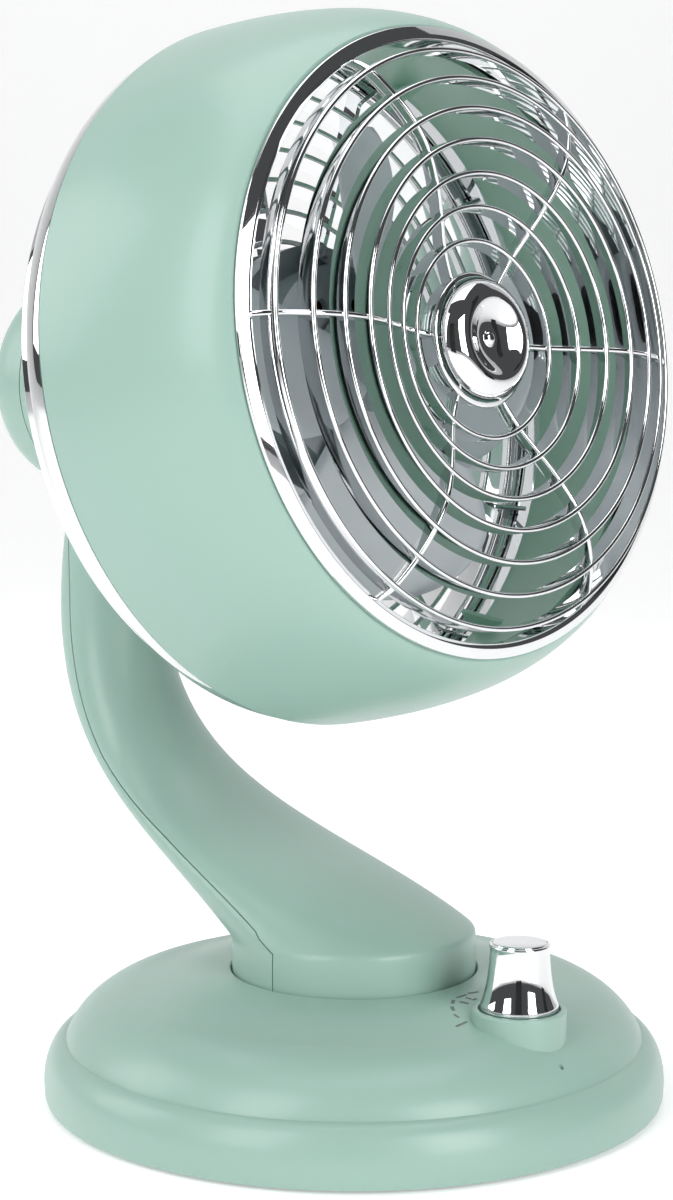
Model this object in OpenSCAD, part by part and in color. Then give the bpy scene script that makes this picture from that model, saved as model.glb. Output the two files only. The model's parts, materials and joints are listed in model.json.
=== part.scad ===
// Desk fan: a round head on a swept neck and a weighted dome base.
// +Z is up, the grille faces -Y, and the origin is the middle of the underside of the feet.

/* [Base] */
// Radius of the base at its widest
base_r = 101.8; // [101.2:0.1:102.4]
// Height of the dome beside the neck's foot
dome_z = 41.7; // [41:0.1:42.5]
// Wall of the moulded base
base_wall = 2.6; // [2:0.1:3]
// Radius of the neck's round foot
foot_r = 40; // [38:0.5:40]

/* [Knob] */
// Distance of the knob's axis ahead of the base's axis
knob_y = 71; // [69:0.5:73]
// Radius of the round boss that the knob stands in
boss_r = 14.8; // [14.2:0.1:15.4]
// Radius of the knob at its skirt
knob_r = 12.3; // [11.8:0.1:12.5]
// Height of the knob's top above the table
knob_top = 63.1; // [60:0.1:66]
// Radius of the switch's spindle
spindle_r = 3; // [2.9:0.1:3.1]

/* [Head] */
// Upward lean of the head at rest, in degrees
tilt = 10; // [8:0.5:12]
// Distance of the bezel's centre ahead of the base's axis
bezel_y = 48; // [46:0.5:50]
// Height of the bezel's centre
bezel_z = 246.9; // [240:0.1:255]
// Outer radius of the bezel
bezel_r = 97.4; // [97:0.1:97.6]
// Widest radius of the head's shell
shell_r = 114; // [113:0.1:114.5]
// Depth of the green shell behind the bezel
shell_len = 67.3; // [66:0.1:68]
// Wall of the shell
shell_wall = 2.5; // [2:0.1:3]

/* [Grilles] */
// Radius of the innermost front ring
ring_r1 = 30.3; // [29.5:0.1:31]
// Step from ring to ring
ring_step = 9.73; // [9.6:0.01:9.75]
// Thickness of a ring or a spoke
fin_t = 1.7; // [1.4:0.1:2]
// Depth of a front ring
fin_depth = 6.5; // [5:0.5:7]
// Turn of the front spokes, in degrees
spoke_turn = -6.5; // [-10:0.5:10]
// Step of the rear rings
rear_step = 10.2; // [9.8:0.1:10.3]

/* [Motor and blades] */
// Radius over the blade tips
blade_r = 76; // [70:1:80]
// Number of blades
blades = 4; // [3:1:5]
// Radius of the motor's end bells
bell_r = 33; // [32:0.5:34]
// Radius of the motor's shaft
shaft_r = 4; // [3.5:0.1:4]

/* [Hidden] */
$fn = 96;

// Colours
mint = "#A4C8B8";
deep_green = "#5F8C78";
chrome_grey = "#C9CBCE";
steel = "#A8ABAE";
dark = "#3A3C3E";

// Heights in the base
plate_z = 2;
plate_t = 2.5;
plate_top = plate_z + plate_t;
opening_r = foot_r + 0.4;
boss_top = 41.5;
boss_floor = 38;
recess_floor = 40;
knob_bottom = 40.6;
post_ring = 78;
post_angles = [45, 135, 225, 315];
anchor_ring = 24;
gland_z = 10.5;

// Head axis: the pivot lies where the head's axis meets the pod's level axis
pivot_s = 102;
pivot_y = -bezel_y + pivot_s * cos(tilt);
pivot_z = bezel_z - pivot_s * sin(tilt);
ball_r = 27;
ball_gap = 0.3;
pod_r = 37.5;
pod_wall = 2.5;
pod_dome = 129;
pod_end = 152;
pod_seam = 122;
ear_x = 8;
ear_t = 2.5;
ear_h = 7;

// Crest of each front ring ahead of the bezel, and the rings' radii
ring_crest = [7.7, 11.4, 14.9, 17.0, 16.4, 13.3, 7.9];
ring_r = [for (i = [0:6]) ring_r1 + i * ring_step];
hub_r = 21;
hub_crest = 5.7;
rear_front = 75;
rear_back = 85;
rib_turn = 2;

// Motor stations along the head's axis, measured back from the bezel
bell_len = 10;
front_bell_s = 52;
stator_s = front_bell_s + bell_len;
stator_len = 9;
rear_bell_s = stator_s + stator_len;
plate_s = rear_bell_s + bell_len;
hub_plate_t = 3;
lug_ring = 37;
hub_front = 27.5;
hub_len = 21.5;

// Curves
function bez(p, t) = pow(1 - t, 3) * p[0] + 3 * pow(1 - t, 2) * t * p[1]
    + 3 * (1 - t) * t * t * p[2] + pow(t, 3) * p[3];
function curve(p, n) = [for (i = [0:n]) bez(p, i / n)];
function tail(v) = [for (i = [1:len(v) - 1]) v[i]];
function flip(v) = [for (i = [len(v) - 1:-1:0]) v[i]];

// Side view of the neck: its front rail and its back rail, from the foot up into the pod
front_rail = [[-foot_r, 55], [22.6, 84.7], [125, 70], [97, 205]];
back_rail = [[foot_r, 52], [99.5, 91.3], [159.3, 104.7], [125, 205]];
half_widths = [foot_r, 31.3, 17, 18.5];
neck_steps = 18;
neck_sides = 44;

function across(t, k) = bez(front_rail, t) * (1 - k) + bez(back_rail, t) * k;
function neck_ring(t, wall) = let (
        c = across(t, 0.5),
        d = bez(back_rail, t) - bez(front_rail, t),
        h = norm(d) / 2,
        w = bez(half_widths, t)
    ) [for (i = [0:neck_sides - 1]) let (a = 360 * i / neck_sides)
        [(w - wall) * cos(a), c[0] + (h - wall) * sin(a) * d[0] / (2 * h),
            c[1] + (h - wall) * sin(a) * d[1] / (2 * h)]];
function foot_ring(z, wall) = [for (i = [0:neck_sides - 1]) let (a = 360 * i / neck_sides)
    [(foot_r - wall) * cos(a), (foot_r - wall) * sin(a), z]];

// A closed skin over a stack of rings of equal length
module skin(rings) {
    n = len(rings[0]);
    m = len(rings);
    sides = [for (j = [0:m - 2]) for (i = [0:n - 1]) let (k = (i + 1) % n)
        each [[j * n + i, (j + 1) * n + i, j * n + k],
            [j * n + k, (j + 1) * n + i, (j + 1) * n + k]]];
    polyhedron([for (r = rings) each r],
        concat(sides, [[for (i = [0:n - 1]) i]], [[for (i = [n - 1:-1:0]) (m - 1) * n + i]]));
}

// Local frame of the head: Z runs back along its axis, X across, Y down
module on_head() {
    translate([0, -bezel_y, bezel_z]) rotate([-90 - tilt, 0, 0]) children();
}

// Local frame of the pod: Z runs back from the pivot, level
module on_pod() {
    translate([0, pivot_y, pivot_z]) rotate([-90, 0, 0]) children();
}

// Repeats its children round the axis, counted from +X towards the top of the head
module around(count, turn) {
    for (k = [0:count - 1]) rotate([0, 0, -turn - 360 * k / count]) children();
}

module tube(r_out, r_in, h) {
    difference() {
        cylinder(r = r_out, h = h);
        translate([0, 0, -1]) cylinder(r = r_in, h = h + 2);
    }
}

// A pan-head screw: the head sits on z = 0 and the shank points down
module screw(r, length, head_r, head_h) {
    translate([0, 0, -length]) cylinder(r = r, h = length);
    difference() {
        cylinder(r = head_r, h = head_h);
        translate([0, 0, head_h * 0.5]) cylinder(r = head_r * 0.45, h = head_h, $fn = 4);
    }
}

/* Base */

mound = [[opening_r, dome_z], [54, 41.4], [62, 37.2], [72, 36.3]];
shoulder = [[72, 36.3], [82, 35.4], [91.5, 28], [94.6, 19.8]];
skirt = [[94.6, 19.8], [98.6, 19.4], [base_r, 13.5], [base_r, 6]];
dome = concat(curve(mound, 8), tail(curve(shoulder, 10)), tail(curve(skirt, 8)),
    [[base_r - 0.4, 1]]);

module dome_wall() {
    inner = [for (p = dome) [max(p[0] - base_wall, opening_r), max(p[1] - base_wall, 1)]];
    rotate_extrude() polygon(concat(dome, flip(inner)));
}

// Solid under the dome's outer face, used to trim what is moulded inside it
module under_dome() {
    rotate_extrude() polygon(concat([[0, 0], [0, dome_z - 1]],
        [for (p = dome) [p[0] - 1, p[1] - 1]], [[base_r - 1.4, 0]]));
}

module base_shell() color(mint) difference() {
    union() {
        dome_wall();
        translate([0, -knob_y, 0]) rotate_extrude()
            polygon(concat([[0, 24], [boss_r, 24]],
                curve([[boss_r, boss_top - 1.2], [boss_r, boss_top - 0.5],
                    [boss_r - 0.5, boss_top], [boss_r - 1.2, boss_top]], 5),
                [[0, boss_top]]));
        intersection() {
            union() for (a = post_angles) rotate([0, 0, a])
                translate([post_ring, 0, plate_top]) cylinder(r = 4, h = 40);
            under_dome();
        }
    }
    translate([0, -knob_y, 20]) cylinder(r = boss_r - base_wall, h = boss_floor - 20);
    translate([0, -knob_y, recess_floor]) cylinder(r = knob_r + 0.6, h = 5);
    translate([0, -knob_y, 30]) cylinder(r = 3.7, h = 20);
    for (a = post_angles) rotate([0, 0, a])
        translate([post_ring, 0, 0]) cylinder(r = 1.4, h = 20);
    translate([-2.3, -89.7, 15]) cylinder(r = 0.9, h = 20);
    translate([0, base_r - 8, gland_z]) rotate([-90, 0, 0]) cylinder(r = 4.5, h = 20);
}

module base_plate() color(dark) difference() {
    union() {
        translate([0, 0, plate_z]) cylinder(r = base_r - base_wall - 0.7, h = plate_t);
        translate([0, 0, plate_top]) tube(foot_r - base_wall - 0.5, foot_r - base_wall - 2.5, 3);
    }
    for (a = post_angles) rotate([0, 0, a])
        translate([post_ring, 0, 0]) cylinder(r = 1.9, h = 10);
    for (a = [0, 120, 240]) rotate([0, 0, a + 90])
        translate([anchor_ring, 0, 0]) cylinder(r = 2.1, h = 10);
}

// Cast ring, cut away round the screw posts, the switch and the cord's way in
module base_weight() color("#55575A") difference() {
    translate([0, 0, plate_top]) tube(88, 46, 10.5);
    for (a = post_angles) rotate([0, 0, a])
        translate([post_ring, 0, 0]) cylinder(r = 5.5, h = 30);
    translate([-20, -100, 0]) cube([40, 60, 30]);
    translate([-9, 60, 0]) cube([18, 40, 30]);
}

module rubber_feet() color("#202122") {
    cylinder(r = 9, h = plate_z);
    for (a = [0, 90, 180, 270]) rotate([0, 0, a])
        translate([84, 0, 0]) cylinder(r = 8, h = plate_z);
}

module plate_screws() color(steel)
    for (a = post_angles) rotate([0, 0, a])
        translate([post_ring, 0, plate_z]) rotate([180, 0, 0]) screw(1.4, 13, 3.2, 1.6);

// The cord's way in at the back of the skirt: a flanged bush with a clear bore
module cord_grommet() color("#202122")
    translate([0, 0, gland_z]) rotate([-90, 0, 0]) difference() {
        union() {
            translate([0, 0, base_r - 5]) cylinder(r = 4.4, h = 6);
            translate([0, 0, base_r + 0.05]) cylinder(r = 5.6, h = 1.5);
        }
        translate([0, 0, base_r - 10]) cylinder(r = 3, h = 20);
    }

module speed_switch() color("#2E4A66") translate([0, -knob_y, 0]) difference() {
    union() {
        translate([0, 0, 23]) cylinder(r = 11, h = boss_floor - 23);
        translate([0, 0, boss_floor]) cylinder(r = 3.6, h = 5);
        for (x = [-6, 0, 6]) translate([x - 0.4, -2, 19]) cube([0.8, 4, 5]);
    }
    translate([0, 0, 27.5]) cylinder(r = spindle_r + 0.05, h = 30);
}

module switch_nut() color(steel) translate([0, -knob_y, recess_floor]) difference() {
    cylinder(r = 5.6, h = 2, $fn = 6);
    translate([0, 0, -1]) cylinder(r = 3.6, h = 4);
}

module switch_spindle() color(steel) translate([0, -knob_y, 28])
    cylinder(r = spindle_r, h = 28);

module knob_insert() color(dark) translate([0, -knob_y, 44.2]) tube(7.5, spindle_r, 14);

module control_knob() color(chrome_grey) translate([0, -knob_y, 0]) difference() {
    rotate_extrude() polygon(concat([[0, knob_bottom]],
        curve([[knob_r, knob_bottom], [knob_r - 0.3, knob_bottom + 4],
            [9.9, 51], [9.5, knob_top - 1.6]], 10),
        curve([[9.5, knob_top - 1.6], [9.4, knob_top - 0.9], [9, knob_top - 0.7],
            [8.4, knob_top - 0.6]], 4),
        [[0, knob_top]]));
    translate([0, 0, knob_bottom - 1]) cylinder(r = 10.4, h = 4.6);
    translate([0, 0, knob_bottom]) cylinder(r = 7.5, h = 17.6);
}

module indicator_lamp() color("#4A3A30") translate([-2.3, -89.7, plate_top]) {
    cylinder(r = 2.4, h = 1);
    cylinder(r = 1, h = 8);
    translate([0, 0, 7.5]) cylinder(r = 1.5, h = 5.5);
}

/* Neck and pod */

module pod_body() {
    rotate_extrude() polygon(concat([[0, 8]],
        curve([[ball_r + 0.6, 8], [32, 8.5], [pod_r, 15], [pod_r, 27]], 8),
        tail(curve([[pod_r, pod_dome - pivot_y], [pod_r, pod_dome - pivot_y + 13],
            [21, pod_end - pivot_y], [0, pod_end - pivot_y]], 10))));
}

module pod_cavity() {
    rotate_extrude() polygon(concat([[0, 17], [pod_r - 6, 17], [pod_r - pod_wall, 24]],
        curve([[pod_r - pod_wall, pod_dome - pivot_y],
            [pod_r - pod_wall, pod_dome - pivot_y + 11],
            [20, pod_end - pivot_y - pod_wall], [0, pod_end - pivot_y - pod_wall]], 10)));
}

module neck_outer() {
    skin(concat([foot_ring(plate_top, 0)],
        [for (i = [0:neck_steps]) neck_ring(i / neck_steps, 0)]));
    on_pod() pod_body();
}

module neck_inner() {
    top = neck_ring(1, pod_wall);
    skin(concat([foot_ring(plate_top - 1, base_wall), foot_ring(50, base_wall)],
        [for (i = [1:neck_steps]) neck_ring(i / neck_steps, pod_wall)],
        [[for (p = top) p + [0, 0, 10]]]));
    on_pod() {
        pod_cavity();
        sphere(r = ball_r + ball_gap);
    }
}

// Share of the neck's depth at which the rear cover's edge runs
function seam(t) = 0.455 + 0.075 * min(1, max(0, (t - 0.33) / 0.2));
seam_line = concat([[-2.5, 0], [-2.5, 53.5], [4.5, 57]],
    [for (i = [1:15]) across(i / 18, seam(i / 18))], [[pod_seam, 196], [pod_seam, 280]]);

module rear_region(shift) {
    translate([-60, 0, 0]) rotate([90, 0, 90])
        linear_extrude(120) polygon(concat([for (p = seam_line) p + [shift, 0]],
            [[200, 280], [200, 0]]));
}

module neck_shell() color(mint) difference() {
    neck_outer();
    neck_inner();
    rear_region(0);
}

module neck_cover() color(mint) intersection() {
    difference() {
        neck_outer();
        neck_inner();
    }
    rear_region(0.3);
}

module neck_anchor() color(steel) translate([0, 0, plate_top]) difference() {
    cylinder(r = 33, h = 3);
    for (a = [0, 120, 240]) rotate([0, 0, a + 90])
        translate([anchor_ring, 0, -1]) cylinder(r = 2, h = 5);
}

module anchor_screws() color(steel)
    for (a = [0, 120, 240]) rotate([0, 0, a + 90])
        translate([anchor_ring, 0, plate_z]) rotate([180, 0, 0]) screw(2, 8, 3.8, 1.6);

// Formed steel strip that carries the head: it runs up the middle of the neck
spine_half = 1.5;
spine_top = across(1, 0.5);
spine_path = concat([[0, plate_top + 3], [0, 46]], [for (i = [2:18]) across(i / 18, 0.5)],
    [[spine_top[0], pivot_z + 2]]);
function side(i) = let (
        a = spine_path[max(i - 1, 0)],
        b = spine_path[min(i + 1, len(spine_path) - 1)],
        d = (b - a) / norm(b - a)
    ) [-d[1], d[0]] * spine_half;

module neck_spine() color(steel) difference() {
    translate([-12, 0, 0]) rotate([90, 0, 90]) linear_extrude(24)
        polygon(concat([for (i = [0:len(spine_path) - 1]) spine_path[i] + side(i)],
            flip([for (i = [0:len(spine_path) - 1]) spine_path[i] - side(i)])));
    for (z = [-12, -4]) translate([0, 0, pivot_z + z]) rotate([-90, 0, 0])
        cylinder(r = 2, h = 200);
}

// U bracket: two ears run forward from the spine to the pivot
module tilt_bracket() color(steel) {
    back = spine_top[0] - spine_half;
    difference() {
        union() {
            for (side = [-1, 1]) translate([side * (ear_x + ear_t / 2), 0, 0]) {
                translate([-ear_t / 2, pivot_y, pivot_z - ear_h])
                    cube([ear_t, back - pivot_y, 2 * ear_h]);
                translate([-ear_t / 2, pivot_y, pivot_z]) rotate([0, 90, 0])
                    cylinder(r = ear_h, h = ear_t);
            }
            translate([-ear_x - ear_t, back - ear_t, pivot_z - 18])
                cube([2 * (ear_x + ear_t), ear_t, 18 + ear_h]);
        }
        translate([-30, pivot_y, pivot_z]) rotate([0, 90, 0]) cylinder(r = 3.05, h = 60);
        for (z = [-12, -4]) translate([0, back - 5, pivot_z + z]) rotate([-90, 0, 0])
            cylinder(r = 2, h = 10);
    }
}

module bracket_screws() color(steel)
    for (z = [-12, -4]) translate([0, spine_top[0] + spine_half, pivot_z + z])
        rotate([-90, 0, 0]) screw(2, 9, 3.5, 2.2);

module tilt_bolt() color(steel) translate([0, pivot_y, pivot_z]) rotate([0, 90, 0]) {
    translate([0, 0, -ear_x - ear_t]) cylinder(r = 3, h = 2 * (ear_x + ear_t) + 7.5);
    translate([0, 0, -ear_x - ear_t - 4]) cylinder(r = 5.5, h = 4, $fn = 6);
}

module spring_washer() color(steel) translate([ear_x + ear_t, pivot_y, pivot_z])
    rotate([0, 90, 0]) tube(5.6, 3.05, 1.5);

module tilt_nut() color(steel) translate([ear_x + ear_t + 1.5, pivot_y, pivot_z])
    rotate([0, 90, 0]) difference() {
        cylinder(r = 5.5, h = 4.5, $fn = 6);
        translate([0, 0, -1]) cylinder(r = 3, h = 7);
    }

module friction_washers() color("#C8B98A")
    for (x = [-ear_x, ear_x - 0.9]) translate([x, pivot_y, pivot_z]) rotate([0, 90, 0])
        tube(7.5, 3.05, 0.9);

/* Head */

module tilt_tongue() color(steel) on_head() difference() {
    union() {
        translate([0, 0, plate_s + hub_plate_t]) cylinder(r = 18, h = 3);
        translate([-7, -6, plate_s + hub_plate_t]) cube([14, 12, pivot_s - plate_s - hub_plate_t]);
        translate([-7, 0, pivot_s]) rotate([0, 90, 0]) cylinder(r = 8, h = 14);
    }
    translate([-20, 0, pivot_s]) rotate([0, 90, 0]) cylinder(r = 3.05, h = 40);
    around(3, 90) translate([13.5, 0, plate_s]) cylinder(r = 1.6, h = 10);
}

module tongue_screws() color(steel) on_head()
    around(3, 90) translate([13.5, 0, plate_s + hub_plate_t + 3]) screw(1.5, 8, 2.8, 1.6);

// Green cover: a skirt over the motor mount that runs into the ball of the tilt joint
knuckle_skirt = [[36, rear_back + 0.3], [33, rear_back + 4], [29, 92], [25.5, 93]];

module knuckle_cover() color(mint) on_head() {
    arc = [for (a = [70.5:5.95:130]) [ball_r * sin(a), pivot_s - ball_r * cos(a)]];
    outline = concat(curve(knuckle_skirt, 6), tail(arc));
    inside = concat([for (p = curve(knuckle_skirt, 6)) p + [-2, -0.01]],
        [for (a = [76.45:5.95:130]) [(ball_r - 2) * sin(a), pivot_s - (ball_r - 2) * cos(a)]]);
    rotate_extrude() polygon(concat(outline, flip(inside)));
}

shell_line = curve([[97.8, 0.6], [107, 9], [113, 35], [shell_r, shell_len]], 16);

module head_shell() color(mint) on_head() {
    inside = [for (p = shell_line) [max(p[0] - shell_wall, 95.9), min(p[1] + 0.5, shell_len)]];
    rotate_extrude() polygon(concat(shell_line, flip(inside)));
}

// Liner that leads the air past the blades, with small gussets at its rear lip
duct_line = curve([[95.6, 13], [99, 26], [106, 44], [108.2, 60.5]], 12);

module air_duct() color(deep_green) on_head() {
    rotate_extrude() polygon(concat(duct_line, [[111.1, 60.5], [111.1, 62.5], [106.4, 62.5]],
        flip([for (p = duct_line) [p[0] - 1.8, p[1]]])));
    around(6, rib_turn) rotate([90, 0, 0]) linear_extrude(1.6, center = true)
        polygon([[98.5, 62.4], [106.9, 62.4], [106.9, 60], [104.8, 46]]);
}

module ring_fin(r, front, depth) {
    rotate_extrude() {
        translate([r - fin_t / 2, front + fin_t / 2]) square([fin_t, depth - fin_t / 2]);
        translate([r, front + fin_t / 2]) circle(r = fin_t / 2, $fn = 32);
    }
}

// Bezel, seven ring fins and six spokes, moulded as one piece
bezel_line = [
    [bezel_r, 0.5], [bezel_r, -0.4], [bezel_r - 0.4, -0.8], [94.6, -2.1], [93.6, -2.2],
    [93, -1.7], [92.7, -1], [92.7, 7.5], [95.5, 7.5], [95.5, 0.5]
];
spoke_low = 0.9;
spoke_depth = 4.6;

module front_grille() color(chrome_grey) on_head() {
    rotate_extrude() polygon(bezel_line);
    for (i = [0:6]) ring_fin(ring_r[i], -ring_crest[i], fin_depth);
    rotate_extrude() translate([hub_r - 3, -hub_crest + 1.3]) square([2, fin_depth - 1]);
    translate([0, 0, -hub_crest + 1.3]) cylinder(r = hub_r - 1.2, h = 1.8);
    crest = concat([[hub_r - 2, hub_crest - 1.4]],
        [for (i = [0:6]) [ring_r[i], ring_crest[i] - spoke_low]], [[93.4, 1.2]]);
    around(6, spoke_turn) rotate([90, 0, 0]) linear_extrude(fin_t, center = true)
        polygon(concat([for (p = crest) [p[0], -p[1]]],
            flip([for (p = crest) [p[0], -p[1] + spoke_depth]])));
}

// Pressed cap: a flange, a dome, and a dish with a small nub
cap_wall = 1.2;
cap_line = concat([[hub_r, -5.2], [hub_r - 0.5, -5.7], [19.6, -5.9]],
    tail(curve([[19.6, -5.9], [18.6, -9.8], [15, -12.2], [12.6, -12.4]], 7)),
    tail(curve([[12.6, -12.4], [11.2, -12.4], [9, -8.9], [2.6, -8.8]], 7)),
    tail(curve([[2.6, -8.8], [2.2, -10], [1.4, -10.3], [0, -10.3]], 4)));

module hub_cap() color(chrome_grey) on_head()
    rotate_extrude() polygon(concat([[hub_r, -4.5]], cap_line,
        [[0, -10.3 + cap_wall], [2.6, -8.8 + cap_wall]],
        flip([for (i = [3:16]) [cap_line[i][0] - 0.4, cap_line[i][1] + cap_wall]]),
        [[18.6, -4.5]]));

// Rim band, rear ring fins, spokes and the plate that carries the motor
rim_line = concat(
    curve([[113.6, shell_len + 0.4], [113.6, 71], [112.6, 75], [110.4, 77.4]], 6),
    [[109.4, 77.7]], curve([[108.4, 76.8], [110.2, 75], [111, 72.5], [110.9, 70]], 4),
    [[108.8, 69.6], [108.8, 63], [110.6, 63], [110.6, shell_len + 0.4]]);

module rear_grille() color(chrome_grey) on_head() difference() {
    $fn = 60;
    union() {
        rotate_extrude() polygon(rim_line);
        for (i = [0:6]) rotate_extrude()
            translate([106.5 - i * rear_step - fin_t, rear_front])
                square([fin_t, rear_back - rear_front]);
        around(12, rib_turn) rotate([90, 0, 0]) linear_extrude(fin_t, center = true)
            polygon([[39, 77], [104, 77], [109, 66], [109.8, 66], [109.8, 77.2], [105, 84],
                [39, 84]]);
        translate([0, 0, plate_s]) cylinder(r = 41, h = hub_plate_t);
    }
    translate([0, 0, plate_s - 1]) cylinder(r = 7, h = 10);
    around(4, 45) translate([24, 0, plate_s - 1]) cylinder(r = 1.6, h = 10);
    around(3, 90) translate([13.5, 0, plate_s - 1]) cylinder(r = 1.5, h = 10);
}

module mount_screws() color(steel) on_head()
    around(4, 45) translate([24, 0, plate_s + hub_plate_t]) screw(1.5, 5, 2.8, 1.6);

// One end bell, floor at z = 0 and mouth at z = bell_len, with lugs for the through bolts
module end_bell() difference() {
    union() {
        cylinder(r = bell_r, h = bell_len);
        around(4, 0) translate([lug_ring, 0, bell_len - 4]) cylinder(r = 4.5, h = 4);
    }
    translate([0, 0, 2.5]) cylinder(r = bell_r - 2.5, h = bell_len);
    around(4, 0) translate([lug_ring, 0, 0]) cylinder(r = 1.6, h = 20);
    around(8, 22.5) translate([21, 0, -1]) cylinder(r = 2.6, h = 5);
}

// Bearing pocket on a bell's floor
module pocket() translate([0, 0, 2]) tube(10.5, 8, 5);

module front_bell() color("#8A8D90") on_head() translate([0, 0, front_bell_s]) {
    difference() {
        end_bell();
        translate([0, 0, -1]) cylinder(r = 5, h = 5);
    }
    pocket();
}

module rear_bell() color("#8A8D90") on_head() translate([0, 0, plate_s]) mirror([0, 0, 1]) {
    difference() {
        end_bell();
        around(4, 45) translate([24, 0, -1]) cylinder(r = 1.5, h = 5);
        around(3, 90) translate([13.5, 0, -1]) cylinder(r = 1.5, h = 5);
        translate([-28, -3, -1]) cube([5, 6, 5]);
    }
    pocket();
}

// Stack of laminations with eight poles
module stator_core() color("#6B5B4A") on_head() translate([0, 0, stator_s]) difference() {
    cylinder(r = 41, h = stator_len);
    translate([0, 0, -1]) cylinder(r = 17.6, h = stator_len + 2);
    around(8, 0) translate([24.5, 0, -1]) cylinder(r = 4.4, h = stator_len + 2);
    around(8, 0) translate([17, -1.2, -1]) cube([5, 2.4, stator_len + 2]);
    around(4, 0) translate([lug_ring, 0, -1]) cylinder(r = 1.6, h = stator_len + 2);
}

module stator_windings() color("#A8622E") on_head() {
    for (s = [stator_s - 5, stator_s + stator_len]) translate([0, 0, s]) tube(29.5, 19.5, 5);
    around(8, 0) translate([24.5, 0, stator_s]) cylinder(r = 4, h = stator_len);
}

module motor_bolts() color(steel) on_head()
    around(4, 0) translate([lug_ring, 0, rear_bell_s + 4]) screw(1.5, stator_len + 12, 3, 2);

module motor_nuts() color(steel) on_head()
    around(4, 0) translate([lug_ring, 0, stator_s - 4 - 2.4]) difference() {
        cylinder(r = 3.1, h = 2.4, $fn = 6);
        translate([0, 0, -1]) cylinder(r = 1.5, h = 5);
    }

module front_bearing() color("#B08D57") on_head()
    translate([0, 0, front_bell_s + 2.5]) tube(8, shaft_r + 0.05, 4.5);

module rear_bearing() color("#B08D57") on_head()
    translate([0, 0, plate_s - 7]) tube(8, shaft_r + 0.05, 4.5);

module motor_shaft() color(steel) on_head()
    translate([0, 0, hub_front - 6]) cylinder(r = shaft_r, h = plate_s - 3 - (hub_front - 6));

module rotor_core() color("#7A7C7E") on_head() translate([0, 0, stator_s])
    tube(17.1, shaft_r, stator_len);

module rotor_rings() color("#B9BBBD") on_head()
    for (s = [stator_s - 2.5, stator_s + stator_len]) translate([0, 0, s]) tube(16, 8, 2.5);

module shaft_collar() color(steel) on_head()
    for (s = [front_bell_s + 7.4, plate_s - 9.4]) translate([0, 0, s]) tube(6.5, shaft_r, 2);

// Blades: thin twisted sheets from the hub out to rounded tips
blade_steps = 12;
blade_root = 15;
blade_mid = hub_front + 10.5;
function blade_tip(k) = k < 0.75 ? 1 : sqrt(1 - pow((k - 0.75) / 0.27, 2));
function blade_chord(k) = (22.4 + 46.4 * sin(100 * k)) * blade_tip(k);
function blade_pitch(k) = 32 - 6 * k;
function blade_section(k) = let (
        r = blade_root + (blade_r - blade_root) * k,
        half = blade_chord(k) / 2,
        p = blade_pitch(k)
    ) [for (w = [for (j = [0:8]) [j / 4 - 1, 0.9], for (j = [8:-1:0]) [j / 4 - 1, -0.9]])
        let (
            u = w[0] * half,
            sweep = (u + 10 * k * k) * cos(p) / r * 180 / PI,
            lift = u * sin(p) + 2.5 * (1 - w[0] * w[0]) * k
        ) [r * cos(sweep), r * sin(sweep), blade_mid + lift + w[1]]];

module propeller() color("#A9B2B6") on_head() {
    translate([0, 0, hub_front]) difference() {
        union() {
            translate([0, 0, 1]) cylinder(r = 16.5, h = hub_len - 1);
            cylinder(r = 13, h = 2);
        }
        translate([0, 0, -1]) cylinder(r = shaft_r, h = hub_len + 2);
        translate([0, 0, 7.5]) tube(14.5, 8, hub_len);
    }
    around(blades, 0) skin([for (i = [blade_steps:-1:0]) blade_section(i / blade_steps)]);
}

module blade_nut() color(chrome_grey) on_head() translate([0, 0, hub_front - 9]) difference() {
    union() {
        translate([0, 0, 6.5]) cylinder(r = 9.5, h = 2.5);
        cylinder(r = 7, h = 7, $fn = 6);
    }
    translate([0, 0, 3]) cylinder(r = shaft_r, h = 10);
}

module terminal_block() color("#E4E0D2") {
    translate([-17, -56, plate_top]) cube([34, 10, 1.2]);
    for (x = [-15:8:9]) translate([x, -55, plate_top + 1.2]) cube([6, 8, 9]);
}

module lead_clamp() color("#E4E0D2") translate([0, 72, plate_top]) difference() {
    translate([-8, -4, 0]) cube([16, 8, 11]);
    translate([0, -5, gland_z - plate_top]) rotate([-90, 0, 0]) cylinder(r = 3, h = 10);
}

base_shell();
base_plate();
base_weight();
rubber_feet();
plate_screws();
cord_grommet();
speed_switch();
switch_nut();
switch_spindle();
knob_insert();
control_knob();
indicator_lamp();
neck_shell();
neck_cover();
neck_anchor();
anchor_screws();
neck_spine();
tilt_bracket();
bracket_screws();
tilt_bolt();
tilt_nut();
spring_washer();
friction_washers();
tilt_tongue();
tongue_screws();
knuckle_cover();
head_shell();
air_duct();
front_grille();
hub_cap();
rear_grille();
mount_screws();
rear_bell();
front_bell();
stator_core();
stator_windings();
motor_bolts();
motor_nuts();
rear_bearing();
front_bearing();
motor_shaft();
rotor_core();
rotor_rings();
shaft_collar();
propeller();
blade_nut();
terminal_block();
lead_clamp();
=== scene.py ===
import json
import math
import bmesh
import bpy
from mathutils import Matrix, Vector


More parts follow.
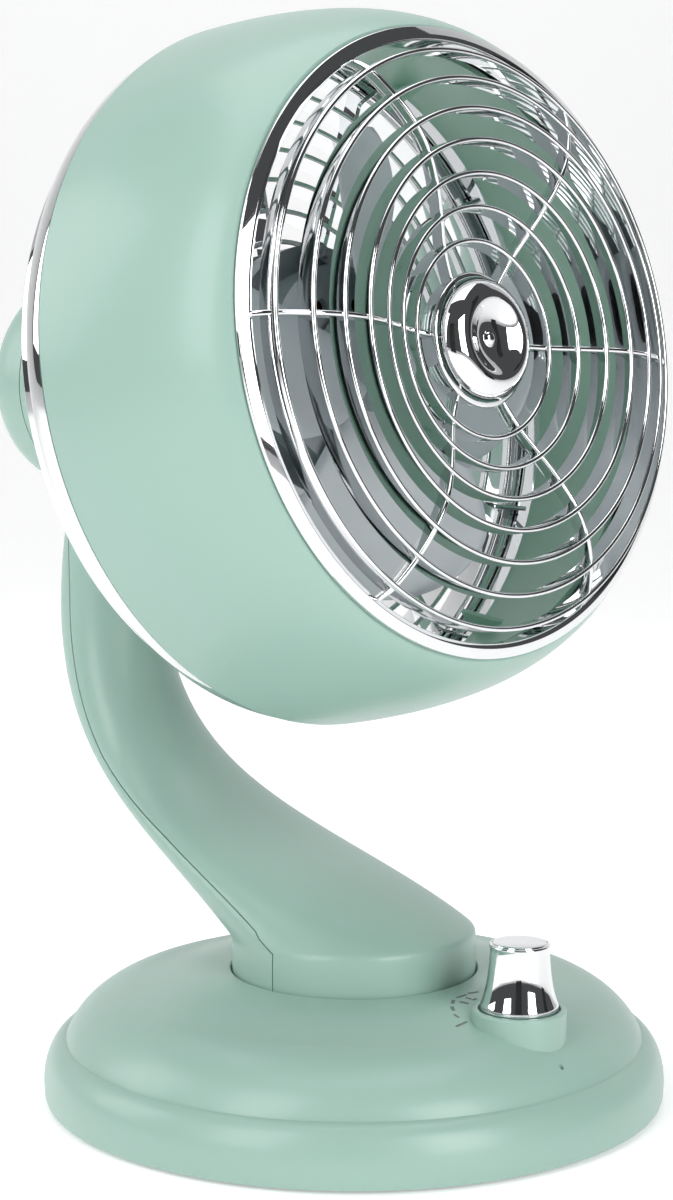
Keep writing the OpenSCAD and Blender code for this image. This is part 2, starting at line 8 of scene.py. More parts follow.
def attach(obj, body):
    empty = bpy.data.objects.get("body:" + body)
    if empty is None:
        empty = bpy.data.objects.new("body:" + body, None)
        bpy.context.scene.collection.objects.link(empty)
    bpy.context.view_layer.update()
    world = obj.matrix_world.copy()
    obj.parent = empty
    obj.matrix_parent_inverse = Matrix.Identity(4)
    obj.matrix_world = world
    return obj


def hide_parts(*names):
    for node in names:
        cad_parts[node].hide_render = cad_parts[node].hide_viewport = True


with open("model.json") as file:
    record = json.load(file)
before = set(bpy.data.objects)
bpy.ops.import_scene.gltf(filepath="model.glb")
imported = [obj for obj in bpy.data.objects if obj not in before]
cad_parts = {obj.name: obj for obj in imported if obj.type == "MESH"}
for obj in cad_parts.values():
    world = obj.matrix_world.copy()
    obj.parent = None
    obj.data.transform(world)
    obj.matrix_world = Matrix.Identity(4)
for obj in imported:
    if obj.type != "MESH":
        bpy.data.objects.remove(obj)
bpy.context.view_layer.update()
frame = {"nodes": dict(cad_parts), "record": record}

# Shapes are drawn in millimetres and placed in metres
MM = 0.001
NODES = frame["nodes"]

# Frames: HEAD runs back along the tilted head's axis, POD runs back from the pivot, level
HEAD = Matrix.Translation((0, -0.048, 0.2469)) @ Matrix.Rotation(math.radians(-100), 4, "X")
POD = Matrix.Translation((0, 0.05245, 0.22919)) @ Matrix.Rotation(math.radians(-90), 4, "X")
UP = Matrix.Identity(4)
KNOB_Y = -71
KNOB = Matrix.Translation((0, KNOB_Y * MM, 0))

# Base and neck
FOOT_R = 40
FRONT_RAIL = [(-FOOT_R, 55), (22.6, 84.7), (125, 70), (97, 205)]
BACK_RAIL = [(FOOT_R, 52), (99.5, 91.3), (159.3, 104.7), (125, 205)]
HALF_WIDTH = [(FOOT_R,), (31.3,), (17,), (18.5,)]
SEAM_GAP = (0.4, -0.3)
BALL_BORE = 27.3

# Grilles
RING_R = [30.3 + 9.73 * i for i in range(7)]
RING_CREST = [7.7, 11.4, 14.9, 17.0, 16.4, 13.3, 7.9]
RING_DEPTH = 6.5
HALF_FIN = 0.85
SPOKES = 6
SPOKE_TURN = 6.5
REAR_RING_R = [106.5 - i * 10.2 for i in range(7)]
REAR_RIBS = 12
RIB_TURN = -2

# Blades
BLADES = 4
BLADE_ROOT = 15
BLADE_REACH = 61
BLADE_MID = 38
BLADE_STEPS = 48


# ---------------------------------------------------------------- materials

def finish(name, color, rough, metal=0.0, vary=0.04, scale=60.0, bump=0.02, coat=0.0,
           grain=900.0, smudge=0.06, edge=0.0):
    """A procedural finish: slow colour drift, smudged roughness and a fine grain.

    edge lightens and whitens convex edges a little: a painted highlight along them.
    """
    m = bpy.data.materials.new(name)
    m.use_nodes = True
    nt = m.node_tree
    n = nt.nodes
    link = nt.links.new
    bsdf = n["Principled BSDF"]
    bsdf.inputs["Metallic"].default_value = metal
    bsdf.inputs["Coat Weight"].default_value = coat
    bsdf.inputs["Coat Roughness"].default_value = 0.12
    where = n.new("ShaderNodeTexCoord")
    drift = n.new("ShaderNodeTexNoise")
    drift.inputs["Scale"].default_value = scale
    drift.inputs["Detail"].default_value = 4.0
    link(where.outputs["Object"], drift.inputs["Vector"])
    mix = n.new("ShaderNodeMix")
    mix.data_type = "RGBA"
    mix.inputs[6].default_value = [c * (1 - vary) for c in color] + [1]
    mix.inputs[7].default_value = [min(1, c * (1 + vary)) for c in color] + [1]
    link(drift.outputs["Fac"], mix.inputs[0])
    tone = mix.outputs[2]
    # painted highlight: convex edges, found by pointiness, are lightened towards white
    if edge:
        geo = n.new("ShaderNodeNewGeometry")
        ramp = n.new("ShaderNodeMapRange")
        ramp.inputs["From Min"].default_value = 0.56
        ramp.inputs["From Max"].default_value = 0.72
        link(geo.outputs["Pointiness"], ramp.inputs["Value"])
        painted_edge_highlight = n.new("ShaderNodeMix")
        painted_edge_highlight.data_type = "RGBA"
        painted_edge_highlight.inputs[7].default_value = [min(1, c * 1.25 + 0.04) for c in color] + [1]
        link(tone, painted_edge_highlight.inputs[6])
        dim = n.new("ShaderNodeMath")
        dim.operation = "MULTIPLY"
        dim.inputs[1].default_value = edge
        link(ramp.outputs["Result"], dim.inputs[0])
        link(dim.outputs[0], painted_edge_highlight.inputs[0])
        tone = painted_edge_highlight.outputs[2]
    link(tone, bsdf.inputs["Base Color"])
    blot = n.new("ShaderNodeTexNoise")
    blot.inputs["Scale"].default_value = scale * 0.45
    blot.inputs["Detail"].default_value = 6.0
    link(where.outputs["Object"], blot.inputs["Vector"])
    spread = n.new("ShaderNodeMapRange")
    spread.inputs["To Min"].default_value = max(0.01, rough - smudge)
    spread.inputs["To Max"].default_value = rough + smudge
    link(blot.outputs["Fac"], spread.inputs["Value"])
    link(spread.outputs["Result"], bsdf.inputs["Roughness"])
    if bump:
        fine = n.new("ShaderNodeTexNoise")
        fine.inputs["Scale"].default_value = grain
        fine.inputs["Detail"].default_value = 3.0
        link(where.outputs["Object"], fine.inputs["Vector"])
        lift = n.new("ShaderNodeBump")
        lift.inputs["Strength"].default_value = bump
        lift.inputs["Distance"].default_value = 0.0004
        link(fine.outputs["Fac"], lift.inputs["Height"])
        link(lift.outputs["Normal"], bsdf.inputs["Normal"])
    return m


# edge=0.35 paints a highlight along the mint moulding's convex edges
MINT = finish("mint_satin", (0.322, 0.481, 0.418), 0.36, vary=0.025, scale=14, bump=0.05,
              coat=0.12, grain=1500, smudge=0.03, edge=0.35)
DUCT = finish("duct_green", (0.36, 0.62, 0.49), 0.42, vary=0.06, scale=25, bump=0.08)
CHROME = finish("bright_chrome", (0.80, 0.81, 0.82), 0.035, metal=1.0, vary=0.02, scale=35,
                bump=0.01, grain=160, smudge=0.02)
BLADE = finish("blade_grey", (0.47, 0.51, 0.54), 0.3, vary=0.03, scale=30, bump=0.03)
DARK = finish("dark_moulding", (0.022, 0.022, 0.024), 0.5, vary=0.15, scale=80, bump=0.2)
PRINT = finish("printed_grey", (0.15, 0.18, 0.17), 0.55, vary=0.1, scale=300, bump=0.05)
RUBBER = finish("black_rubber", (0.018, 0.018, 0.018), 0.75, vary=0.2, scale=120, bump=0.3)
STEEL = finish("zinc_steel", (0.50, 0.51, 0.53), 0.32, metal=1.0, vary=0.08, scale=90, bump=0.08)
IRON = finish("cast_iron", (0.06, 0.06, 0.064), 0.62, metal=0.6, vary=0.25, scale=110, bump=0.6)
ALU = finish("painted_casting", (0.36, 0.39, 0.42), 0.4, vary=0.1, scale=100, bump=0.2)
COPPER = finish("enamelled_copper", (0.55, 0.22, 0.09), 0.35, metal=0.9, vary=0.2, scale=700,
                bump=0.5)
FIBRE = finish("pale_fibre", (0.55, 0.50, 0.38), 0.6, vary=0.12, scale=200, bump=0.2)
LAMP = finish("lamp_lens", (0.16, 0.06, 0.035), 0.15, vary=0.1, scale=200, bump=0.02, coat=0.5)
SLOTS = {
    "mint_plastic": MINT, "duct_plastic": DUCT, "chrome": CHROME, "blade_plastic": BLADE,
    "dark_plastic": DARK, "rubber": RUBBER, "steel": STEEL, "cast_iron": IRON,
    "aluminium": ALU, "copper": COPPER, "fibre": FIBRE, "lamp": LAMP,
}
SLOT_OF = {s["node"]: s["material_slot"] for s in frame["record"]["subparts"]}


# ---------------------------------------------------------------- shapes

def bez(p, t):
    """Point at t on the cubic curve with the four control points p."""
    a, b, c, d = (1 - t) ** 3, 3 * (1 - t) ** 2 * t, 3 * (1 - t) * t * t, t ** 3
    return tuple(a * p[0][i] + b * p[1][i] + c * p[2][i] + d * p[3][i] for i in range(len(p[0])))


def curve(p, n=24):
    """The cubic curve as n + 1 points."""
    return [bez(p, i / n) for i in range(n + 1)]


def rounded(poly, radius, closed=True, steps=5):
    """The outline with its corners rounded. A third number on a point is that corner's radius."""
    out = []
    n = len(poly)
    for i, p in enumerate(poly):
        r = p[2] if len(p) > 2 else radius
        if r <= 0 or (not closed and i in (0, n - 1)):
            out.append((p[0], p[1]))
            continue
        a, b, c = Vector(poly[i - 1][:2]), Vector(p[:2]), Vector(poly[(i + 1) % n][:2])
        u, v = (a - b), (c - b)
        lu, lv = u.length, v.length
        if lu < 1e-6 or lv < 1e-6:
            continue
        u, v = u / lu, v / lv
        angle = u.angle(v)
        if angle > math.pi - 0.12:
            out.append(tuple(b))
            continue
        reach = min(r / math.tan(angle / 2), 0.45 * lu, 0.45 * lv)
        p0, p1 = b + u * reach, b + v * reach
        for k in range(steps + 1):
            t = k / steps
            out.append(tuple(p0 * (1 - t) ** 2 + b * 2 * t * (1 - t) + p1 * t * t))
    return out


class Build:
    """Collects surfaces in millimetres and makes one object of them."""

    def __init__(self):
        self.v = []
        self.f = []

    def add(self, verts, faces):
        k = len(self.v)
        self.v += [tuple(p) for p in verts]
        self.f += [tuple(i + k for i in f) for f in faces]
        return self

    def lathe(self, outline, n=144, closed=True):
        """Turns an outline of (radius, height) about Z in n steps."""
        verts, faces = [], []
        m = len(outline)
        for k in range(n):
            a = 2 * math.pi * k / n
            for r, z in outline:
                verts.append((r * math.cos(a), r * math.sin(a), z))
        last = m if closed else m - 1
        for k in range(n):
            k2 = (k + 1) % n
            for j in range(last):
                j2 = (j + 1) % m
                if outline[j][0] < 1e-6 and outline[j2][0] < 1e-6:
                    continue
                faces.append((k * m + j, k2 * m + j, k2 * m + j2, k * m + j2))
        return self.add(verts, faces)

    def loft(self, rings):
        """Skins a stack of equal rings and caps both ends."""
        n = len(rings[0])
        verts = [p for r in rings for p in r]
        faces = [(j * n + i, j * n + (i + 1) % n, (j + 1) * n + (i + 1) % n, (j + 1) * n + i)
                 for j in range(len(rings) - 1) for i in range(n)]
        faces.append(tuple(reversed(range(n))))
        faces.append(tuple((len(rings) - 1) * n + i for i in range(n)))
        return self.add(verts, faces)

    def make(self, name, material, place=UP, sharp=32):
        """One object of everything collected, with edges over sharp degrees kept crisp."""
        me = bpy.data.meshes.new(name)
        me.from_pydata([tuple(c * MM for c in p) for p in self.v], [], self.f)
        bm = bmesh.new()
        bm.from_mesh(me)
        bmesh.ops.remove_doubles(bm, verts=bm.verts, dist=2e-6)
        bmesh.ops.dissolve_degenerate(bm, edges=bm.edges, dist=1e-7)
        bmesh.ops.recalc_face_normals(bm, faces=bm.faces)
        bm.to_mesh(me)
        bm.free()
        me.transform(place)
        me.materials.append(material)
        ob = bpy.data.objects.new(name, me)
        bpy.context.scene.collection.objects.link(ob)
        smooth(ob, sharp)
        return ob


def smooth(ob, angle):
    for p in ob.data.polygons:
        p.use_smooth = True
    ob.data.set_sharp_from_angle(angle=math.radians(angle))


def turned(degrees):
    return Matrix.Rotation(math.radians(degrees), 4, "Z")


def stand_for(ob, body, node):
    """Lets ob move with a body and take the place of a CAD node."""
    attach(ob, body)
    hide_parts(node)


def trim(ob, other, how):
    """Applies a boolean between ob and other to ob's mesh."""
    mod = ob.modifiers.new("trim", "BOOLEAN")
    mod.operation = how
    mod.solver = "EXACT"
    mod.object = other
    bake(ob)


def bake(ob):
    """Replaces ob's mesh with what its modifiers make of it."""
    bpy.context.view_layer.update()
    done = bpy.data.meshes.new_from_object(
        ob.evaluated_get(bpy.context.evaluated_depsgraph_get()))
    ob.modifiers.clear()
    ob.data = done


def drop(*obs):
    for o in obs:
        bpy.data.objects.remove(o)


# ---------------------------------------------------------------- base

dome = (curve([(40.4, 41.7), (54, 41.4), (62, 37.2), (72, 36.3)], 30)
        + curve([(72, 36.3), (82, 35.4), (91.5, 28), (94.6, 19.8)], 40)[1:]
        + curve([(94.6, 19.8), (98.6, 19.4), (101.8, 13.5), (101.8, 6)], 26)[1:]
        + [(101.6, 2.2), (101.2, 1.0)])


def dome_height(r):
    for (r0, z0), (r1, z1) in zip(dome, dome[1:]):
        if r0 <= r <= r1 and r1 > r0:
            return z0 + (z1 - z0) * (r - r0) / (r1 - r0)
    return 1.0


shell = [(40.4, 37.5), (40.4, 41.2), (40.9, 41.7)] + dome[3:]
shell += [(99.2, 1.0)] + [(max(r - 2.6, 40.4), max(z - 2.6, 1.0)) for r, z in reversed(dome[:-2])]
base = Build().lathe(shell, 192).make("base_dome", MINT)
pinhole = Build().lathe([(0, 15), (0.85, 15), (0.85, 40), (0, 40)], 24, closed=False)
pinhole = pinhole.make("pinhole", MINT)
pinhole.location = (-0.0023, -0.0897, 0)
way_in = Build().lathe([(0, 90), (5, 90), (5, 120), (0, 120)], 48, closed=False)
way_in = way_in.make("way_in", MINT)
way_in.matrix_world = (Matrix.Translation((0, 0, 0.009))
                       @ Matrix.Rotation(math.radians(-90), 4, "X"))
trim(base, pinhole, "DIFFERENCE")
trim(base, way_in, "DIFFERENCE")
drop(pinhole, way_in)
smooth(base, 30)
stand_for(base, "base", "base_shell")

boss = rounded([(0, 38), (3.7, 38, 0), (3.7, 40, 0.2), (12.9, 40, 0.5), (12.9, 41.5, 0.35),
                (14.8, 41.5, 0.9), (14.8, 24, 0), (12.2, 24, 0), (12.2, 37, 0), (0, 37, 0)], 0.3)
ob = Build().lathe(boss, 96).make("knob_boss", MINT, KNOB)
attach(ob, "base")

knob = (rounded([(10.6, 40.6, 0), (12.3, 40.6, 0.25), (12.3, 42.6, 0.6)], 0.3, closed=False)
        + [(12.3, 42.2), (12.28, 42.6)]
        + curve([(12.2, 43.0), (10.6, 46.5), (9.6, 52), (9.3, 59.9)], 24)
        + [(9.3, 61.0), (9.45, 61.3), (9.5, 61.6), (9.4, 62.0), (9.1, 62.2), (8.8, 62.2),
           (8.7, 61.8), (8.5, 61.8), (8.4, 62.3), (8.2, 62.5)]
        + curve([(8.2, 62.5), (5.5, 63.0), (3, 63.1), (0, 63.1)], 10))
ob = Build().lathe(knob, 128, closed=False).make("knob_body", CHROME, KNOB, 45)
stand_for(ob, "knob", "control_knob")


def bar(p, q, width):
    """A printed bar that lies on the dome, from p to q about the knob's axis."""
    p, q = Vector(p), Vector(q)
    along = (q - p).normalized()
    across_bar = Vector((-along.y, along.x)) * width / 2
    rows, cols = 12, 4
    verts = []
    for i in range(rows + 1):
        for j in range(cols + 1):
            x, y = p + (q - p) * i / rows + across_bar * (2 * j / cols - 1)
            y += KNOB_Y
            verts.append((x, y, dome_height(math.hypot(x, y)) + 0.06))
    faces = [(i * (cols + 1) + j, i * (cols + 1) + j + 1, (i + 1) * (cols + 1) + j + 1,
              (i + 1) * (cols + 1) + j) for i in range(rows) for j in range(cols)]
    return verts, faces


marks = Build()
for p, q, width in [((-19.0, 9.4), (-13.6, 9.6), 0.9), ((-13.7, 14.9), (-13.9, 12.7), 0.9),
                    ((-10.4, 18.8), (-12.0, 16.6), 1.2), ((-8.7, 20.1), (-6.1, 21.8), 1.2),
                    ((-4.0, 22.5), (0.8, 22.5), 0.9), ((2.0, 23.0), (6.2, 22.2), 0.9),
                    ((-5.4, 19.9), (-3.9, 17.4), 1.1), ((-1.3, 21.0), (-0.6, 19.2), 0.9),
                    ((-0.8, 18.5), (1.4, 18.7), 0.9)]:
    marks.add(*bar(p, q, width))
ob = marks.make("dial_marks", PRINT)
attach(ob, "base")

# ---------------------------------------------------------------- neck and pod

def section(t, wall, n=72):
    """Oval ring across the neck at t along its rails, set in by the wall."""
    f, b, w = Vector(bez(FRONT_RAIL, t)), Vector(bez(BACK_RAIL, t)), bez(HALF_WIDTH, t)[0]
    c, d = (f + b) / 2, (b - f)
    h = d.length / 2
    d.normalize()
    ring = []
    for i in range(n):
        a = 2 * math.pi * i / n
        y, z = c + d * (h - wall) * math.sin(a)
        ring.append(((w - wall) * math.cos(a), y, z))
    return ring


def circle(r, z, n=72):
    return [(r * math.cos(2 * math.pi * i / n), r * math.sin(2 * math.pi * i / n), z)
            for i in range(n)]


def neck_solid(wall, low, lift):
    """The neck set in by a wall, from the height low, with its last ring raised by lift."""
    rings = [circle(FOOT_R - wall, low), circle(FOOT_R - wall, 30)]
    rings += [section(i / 60, wall) for i in range(61)]
    if lift:
        rings.append([(x, y, z + lift) for x, y, z in rings[-1]])
    return Build().loft(rings)


pod = [(0, 8), (27.9, 8)] + curve([(27.9, 8), (32, 8.5), (37.5, 15), (37.5, 27)], 20)[1:]
pod += curve([(37.5, 76.6), (37.5, 89.6), (21, 99.6), (0, 99.6)], 40)
neck = neck_solid(0, 4.5, 0).make("neck_solid", MINT)
top = Build().lathe(pod, 96, closed=False).make("pod_solid", MINT, POD)
trim(neck, top, "UNION")
drop(top)
mod = neck.modifiers.new("remesh", "REMESH")
mod.mode = "VOXEL"
mod.voxel_size = 0.0011
mod = neck.modifiers.new("soften", "SMOOTH")
mod.factor = 0.5
mod.iterations = 6
bake(neck)
upper = neck.vertex_groups.new(name="upper")
for v in neck.data.vertices:
    upper.add([v.index], min(1, max(0, (v.co.z - 0.15) / 0.02)), "REPLACE")
mod = neck.modifiers.new("blend", "SMOOTH")
mod.factor = 0.5
mod.iterations = 24
mod.vertex_group = "upper"
bake(neck)

hollow = neck_solid(2.6, 2.0, 10).make("hollow", MINT)
cavity = Build().lathe([(0, 17), (31.5, 17), (35, 24)]
                       + curve([(35, 76.6), (35, 87.6), (20, 97.1), (0, 97.1)], 24), 72,
                       closed=False).make("cavity", MINT, POD)
ball = Build().lathe([(BALL_BORE * math.sin(math.pi * i / 40),
                       -BALL_BORE * math.cos(math.pi * i / 40)) for i in range(41)],
                     96, closed=False).make("ball", MINT, POD)
for o in (hollow, cavity, ball):
    trim(neck, o, "DIFFERENCE")
drop(hollow, cavity, ball)


def across(t, k):
    """Point at a share k of the neck's depth, at t along its rails."""
    f, b = Vector(bez(FRONT_RAIL, t)), Vector(bez(BACK_RAIL, t))
    return tuple(f * (1 - k) + b * k)


def share(t):
    """Share of the neck's depth at which the rear cover's edge runs."""
    return 0.455 + 0.075 * min(1, max(0, (t - 0.33) / 0.2))


seam = [(-2.5, 0), (-2.5, 53.5), (4.5, 57)]
seam += [across(i / 72, share(i / 72)) for i in range(4, 61)]
seam += [(122, 196), (122, 280)]


def slab(points, name):
    rings = [[(x, y, z) for y, z in points] for x in (-60, 60)]
    return Build().loft(rings).make(name, MINT)


front_side = slab(seam + [(-120, 280), (-120, 0)], "front_side")
rear_side = slab([(y + SEAM_GAP[0], z + SEAM_GAP[1]) for y, z in seam]
                 + [(200, 280), (200, 0)], "rear_side")
cover = neck.copy()
cover.data = neck.data.copy()
bpy.context.scene.collection.objects.link(cover)
trim(neck, front_side, "INTERSECT")
trim(cover, rear_side, "INTERSECT")
drop(front_side, rear_side)
for o, node in ((neck, "neck_shell"), (cover, "neck_cover")):
    o.name = node + "_skin"
    smooth(o, 40)
    stand_for(o, "base", node)

# ---------------------------------------------------------------- head

line = curve([(97.8, 0.6), (107, 9), (113, 35), (114, 67.3)], 60)
wall = [(max(r - 2.5, 95.9), min(z + 0.5, 67.3)) for r, z in line]
shell = [(line[0][0] - 0.3, line[0][1] + 0.25)] + line[1:-1] + [(114, 66.9), (113.6, 67.3)]
ob = Build().lathe(shell + list(reversed(wall)), 224).make("head_skin", MINT, HEAD, 30)
stand_for(ob, "head", "head_shell")

duct = curve([(95.6, 13), (99, 26), (106, 44), (108.2, 60.5)], 40)
inner = [(r - 1.8, z) for r, z in duct]
loop = duct + [(111.1, 60.5), (111.1, 62.5), (106.4, 62.5)] + list(reversed(inner))
b = Build().lathe(loop, 192)
gusset = [(97.5, 62.4), (106.9, 62.4), (106.9, 60), (104.8, 46)]
for k in range(6):
    turn = turned(RIB_TURN - 60 * k)
    b.loft([[tuple(turn @ Vector((r, y, z))) for r, z in gusset] for y in (-0.8, 0.8)])
stand_for(b.make("duct_skin", DUCT, HEAD, 30), "head", "air_duct")

skirt = curve([(36, 85.3), (33, 89), (29, 92), (25.5, 93)], 20)
arc = [(27 * math.sin(math.radians(a)), 102 - 27 * math.cos(math.radians(a)))
       for a in [70.5 + 59.5 * i / 40 for i in range(41)]]
arc_in = [(25 * math.sin(math.radians(a)), 102 - 25 * math.cos(math.radians(a)))
          for a in [76.45 + 53.55 * i / 30 for i in range(31)]]
loop = skirt + arc[1:] + list(reversed([(r - 2, z - 0.01) for r, z in skirt] + arc_in))
stand_for(Build().lathe(loop, 128).make("knuckle_skin", MINT, HEAD, 40), "head", "knuckle_cover")

# Front grille

def fin(r, front):
    """Section of a ring with a round nose, slightly thinner at its back edge."""
    nose = [(r + HALF_FIN * math.cos(math.radians(a)),
             front + HALF_FIN - HALF_FIN * math.sin(math.radians(a)))
            for a in range(180, -1, -15)]
    return nose + [(r + HALF_FIN - 0.1, front + RING_DEPTH),
                   (r - HALF_FIN + 0.1, front + RING_DEPTH)]


bezel = rounded([(97.4, 0.5, 0.1), (97.4, -0.7, 0.5), (94.4, -2.3, 0.5), (92.7, -1.9, 0.7),
                 (92.7, 7.5, 0.4), (95.5, 7.5, 0.4), (95.5, 0.5, 0)], 0.3)
b = Build().lathe(bezel, 256)
for r, c in zip(RING_R, RING_CREST):
    b.lathe(fin(r, -c), 224)
b.lathe(rounded([(0, -4.4, 0), (19.8, -4.4, 0.4), (19.8, 1.1, 0.3), (18, 1.1, 0.3),
                 (18, -2.6, 0), (0, -2.6, 0)], 0.3), 96)
path = [(18.8, 4.3)] + [(r, c - 0.9) for r, c in zip(RING_R, RING_CREST)] + [(93.4, 1.2)]


def smooth_path(points, n=8):
    """A smooth line through all the points, with n steps between neighbours."""
    out = []
    for i in range(len(points) - 1):
        p0, p1, p2, p3 = (points[max(i - 1, 0)], points[i], points[i + 1],
                          points[min(i + 2, len(points) - 1)])
        for k in range(n):
            t = k / n
            out.append(tuple(0.5 * (2 * p1[j] + (p2[j] - p0[j]) * t
                                    + (2 * p0[j] - 5 * p1[j] + 4 * p2[j] - p3[j]) * t * t
                                    + (3 * p1[j] - p0[j] - 3 * p2[j] + p3[j]) * t ** 3)
                             for j in (0, 1)))
    return out + [points[-1]]


path = smooth_path(path)
for k in range(SPOKES):
    turn = turned(SPOKE_TURN - 360 / SPOKES * k)
    rings = []
    for r, c in path:
        cut = [(HALF_FIN * math.cos(math.radians(a)),
                -c + HALF_FIN - HALF_FIN * math.sin(math.radians(a)))
               for a in range(0, 181, 20)]
        cut += [(-HALF_FIN + 0.1, -c + 4.6), (HALF_FIN - 0.1, -c + 4.6)]
        rings.append([tuple(turn @ Vector((r, y, z))) for y, z in cut])
    b.loft(rings)
stand_for(b.make("front_rings", CHROME, HEAD, 40), "head", "front_grille")

cap = ([(20.0, -4.5), (20.9, -4.6), (21.0, -5.1), (20.8, -5.5), (20.2, -5.8), (19.6, -5.95)]
       + curve([(19.6, -5.95), (18.9, -9.6), (15.4, -12.3), (12.6, -12.4)], 24)[1:]
       + curve([(12.6, -12.4), (10.6, -12.4), (8.6, -8.9), (2.8, -8.75)], 24)[1:]
       + curve([(2.8, -8.75), (2.2, -8.8), (2.3, -10.3), (0, -10.35)], 10)[1:])
ob = Build().lathe(cap, 128, closed=False).make("cap_skin", CHROME, HEAD, 50)
stand_for(ob, "head", "hub_cap")

# Rear grille
rim = (curve([(113.6, 67.8), (113.6, 71), (112.6, 75), (110.4, 77.4)], 16)
       + curve([(110.4, 77.4), (110.0, 77.8), (109.2, 77.8), (108.4, 76.9)], 6)[1:]
       + curve([(108.4, 76.9), (110.2, 75), (111, 72.5), (110.9, 70)], 10)[1:]
       + [(108.8, 69.6), (108.8, 63.2), (109.0, 63), (110.4, 63), (110.6, 63.2), (110.6, 67.7),
          (113.3, 67.7)])
b = Build().lathe(rim, 224)
for r in REAR_RING_R:
    ring = [(r, 75, 0.5), (r, 85, 0.7), (r - 2 * HALF_FIN, 85, 0.7), (r - 2 * HALF_FIN, 75, 0.5)]
    b.lathe(rounded(ring, 0.5), 192)
rib = rounded([(39, 77), (104, 77, 2), (109, 66, 1), (109.8, 66, 0), (109.8, 77.2, 1),
               (105, 84, 2), (39, 84)], 0.4)
for k in range(REAR_RIBS):
    turn = turned(RIB_TURN - 360 / REAR_RIBS * k)
    # the two outer layers are a little shallower, which rounds the rib's edges
    b.loft([[tuple(turn @ Vector((r, y, z + (inset if z < 78 else -inset)))) for r, z in rib]
            for y, inset in ((-HALF_FIN, 0.25), (-0.6, 0), (0.6, 0), (HALF_FIN, 0.25))])
b.lathe(rounded([(0, 81, 0), (41, 81, 0.4), (41, 84, 0.6), (0, 84, 0)], 0.4), 128)
stand_for(b.make("rear_rings", CHROME, HEAD, 40), "head", "rear_grille")


# ---------------------------------------------------------------- blades

def blade_ring(k, turn, n=36):
    """Section of a blade at a share k of its reach, bent round the axis and twisted."""
    r = BLADE_ROOT + BLADE_REACH * k
    tip = 1 if k < 0.75 else math.sqrt(1 - ((k - 0.75) / 0.252) ** 2)
    half = (22.4 + 46.4 * math.sin(math.radians(100 * k))) * tip / 2
    pitch = math.radians(32 - 6 * k)
    ring = []
    for i in range(2 * n):
        side = 1 if i < n else -1
        w = (i / n * 2 - 1) if i < n else (1 - (i - n) / n * 2)
        thick = 0.9 * (1 - abs(w) ** 8) ** 0.5 + 0.02
        u = w * half
        sweep = (u + 10 * k * k) * math.cos(pitch) / r
        lift = u * math.sin(pitch) + 2.5 * (1 - w * w) * k
        ring.append(tuple(turn @ Vector((r * math.cos(sweep), r * math.sin(sweep),
                                         BLADE_MID + lift + side * thick))))
    return ring


b = Build()
for k in range(BLADES):
    turn = turned(-360 / BLADES * k)
    b.loft([blade_ring(1 - (1 - i / BLADE_STEPS) ** 1.6, turn) for i in range(BLADE_STEPS + 1)])
hub = [(4, 27.5, 0.2), (13, 27.5, 0.4), (14.2, 28.5, 0.6), (16.5, 30.5, 1), (16.5, 49, 0.3),
       (14.5, 49, 0.3), (14.5, 35, 0), (8, 35, 0), (8, 49, 0.3), (4, 49, 0)]
b.lathe(rounded(hub, 0.3), 96)
stand_for(b.make("blade_skin", BLADE, HEAD, 40), "rotor", "propeller")

# ---------------------------------------------------------------- CAD pieces shown as they are

for name, node in NODES.items():
    if node.hide_render:
        continue
    node.data.materials.clear()
    node.data.materials.append(SLOTS[SLOT_OF[name]])
    smooth(node, 30)
    if name != "base_weight":
        mod = node.modifiers.new("edge", "BEVEL")
        mod.width = 0.00015
        mod.segments = 2
        mod.limit_method = "ANGLE"
        mod.angle_limit = math.radians(50)

# ---------------------------------------------------------------- stage, light, camera

def matt(name, color, rough, glow=0.0):
    """A plain finish for the stage."""
    m = bpy.data.materials.new(name)
    m.use_nodes = True
    bsdf = m.node_tree.nodes["Principled BSDF"]
    bsdf.inputs["Base Color"].default_value = (*color, 1)
    bsdf.inputs["Roughness"].default_value = rough
    bsdf.inputs["Emission Color"].default_value = (1, 1, 1, 1)
    bsdf.inputs["Emission Strength"].default_value = glow
    return m


# Backdrop: a floor that curves up behind the fan, turned to face the camera
sweep = [(-3.0, 0.0), (0.0, 0.0), (1.2, 0.0)]
for i in range(1, 13):
    a = math.pi / 2 * i / 12
    sweep.append((1.2 + 0.8 * math.sin(a), 0.8 - 0.8 * math.cos(a)))
sweep.append((2.0, 3.5))
look = Matrix.Rotation(math.radians(-46), 4, "Z")
verts = []
for x in (-4.0, 4.0):
    verts += [tuple(look @ Vector((x, y, z - 0.0003))) for y, z in sweep]
m = len(sweep)
faces = [(i, i + 1, m + i + 1, m + i) for i in range(m - 1)]
me = bpy.data.meshes.new("sweep")
me.from_pydata(verts, [], faces)
me.materials.append(matt("paper", (0.88, 0.88, 0.88), 0.7, 0.35))
floor = bpy.data.objects.new("sweep", me)
bpy.context.scene.collection.objects.link(floor)
smooth(floor, 60)


MIDDLE = (0, 0, 0.2)


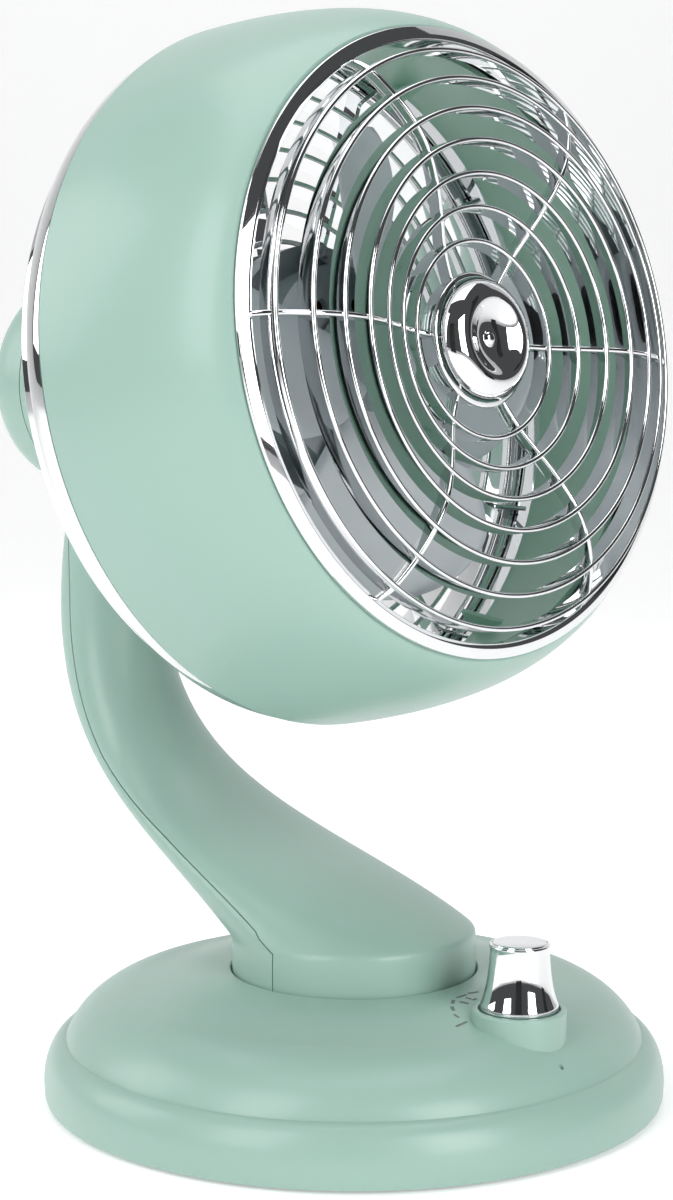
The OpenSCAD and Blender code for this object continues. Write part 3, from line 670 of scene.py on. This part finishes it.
def aimed(place, target):
    return (Vector(target) - Vector(place)).to_track_quat("-Z", "Y").to_euler()


def area(name, place, w, h, power):
    """A soft light of w by h metres that faces the fan."""
    data = bpy.data.lights.new(name, "AREA")
    data.shape = "RECTANGLE"
    data.size, data.size_y = w, h
    data.energy = power
    ob = bpy.data.objects.new(name, data)
    ob.location = place
    ob.rotation_euler = aimed(place, MIDDLE)
    bpy.context.scene.collection.objects.link(ob)


def card(name, place, w, h, color):
    """A card the camera doesn't see, which the chrome reflects."""
    me = bpy.data.meshes.new(name)
    me.from_pydata([(-w / 2, -h / 2, 0), (w / 2, -h / 2, 0), (w / 2, h / 2, 0), (-w / 2, h / 2, 0)],
                   [], [(0, 1, 2, 3)])
    me.materials.append(matt(name, color, 0.9))
    ob = bpy.data.objects.new(name, me)
    ob.location = place
    ob.rotation_euler = aimed(place, MIDDLE)
    ob.visible_camera = False
    bpy.context.scene.collection.objects.link(ob)


area("key", (-1.3, -0.1, 0.9), 0.6, 1.3, 10)
area("front", (-0.25, -1.6, 0.75), 0.7, 1.2, 16)
area("top", (0.1, 0.1, 1.6), 1.3, 1.3, 11)
area("back", (-0.9, 1.2, 0.8), 0.8, 1.0, 7)
card("dark_left", (-1.15, -0.95, 0.4), 0.5, 1.6, (0.01, 0.01, 0.01))
card("dark_right", (0.85, -1.2, 0.5), 0.3, 1.6, (0.01, 0.01, 0.01))

world = bpy.data.worlds.new("studio")
bpy.context.scene.world = world
world.use_nodes = True
world.node_tree.nodes["Background"].inputs["Color"].default_value = (0.9, 0.93, 0.96, 1)
world.node_tree.nodes["Background"].inputs["Strength"].default_value = 0.08

cam = bpy.data.cameras.new("camera")
cam.lens = 80.96
cam.sensor_width = 36
cam.sensor_fit = "AUTO"
eye = bpy.data.objects.new("camera", cam)
eye.location = (-0.6258, -0.5960, 0.2776)
eye.rotation_euler = aimed(eye.location, (-0.0040, 0.0041, 0.1628))
bpy.context.scene.collection.objects.link(eye)
bpy.context.scene.camera = eye
bpy.context.scene.view_settings.view_transform = "Standard"
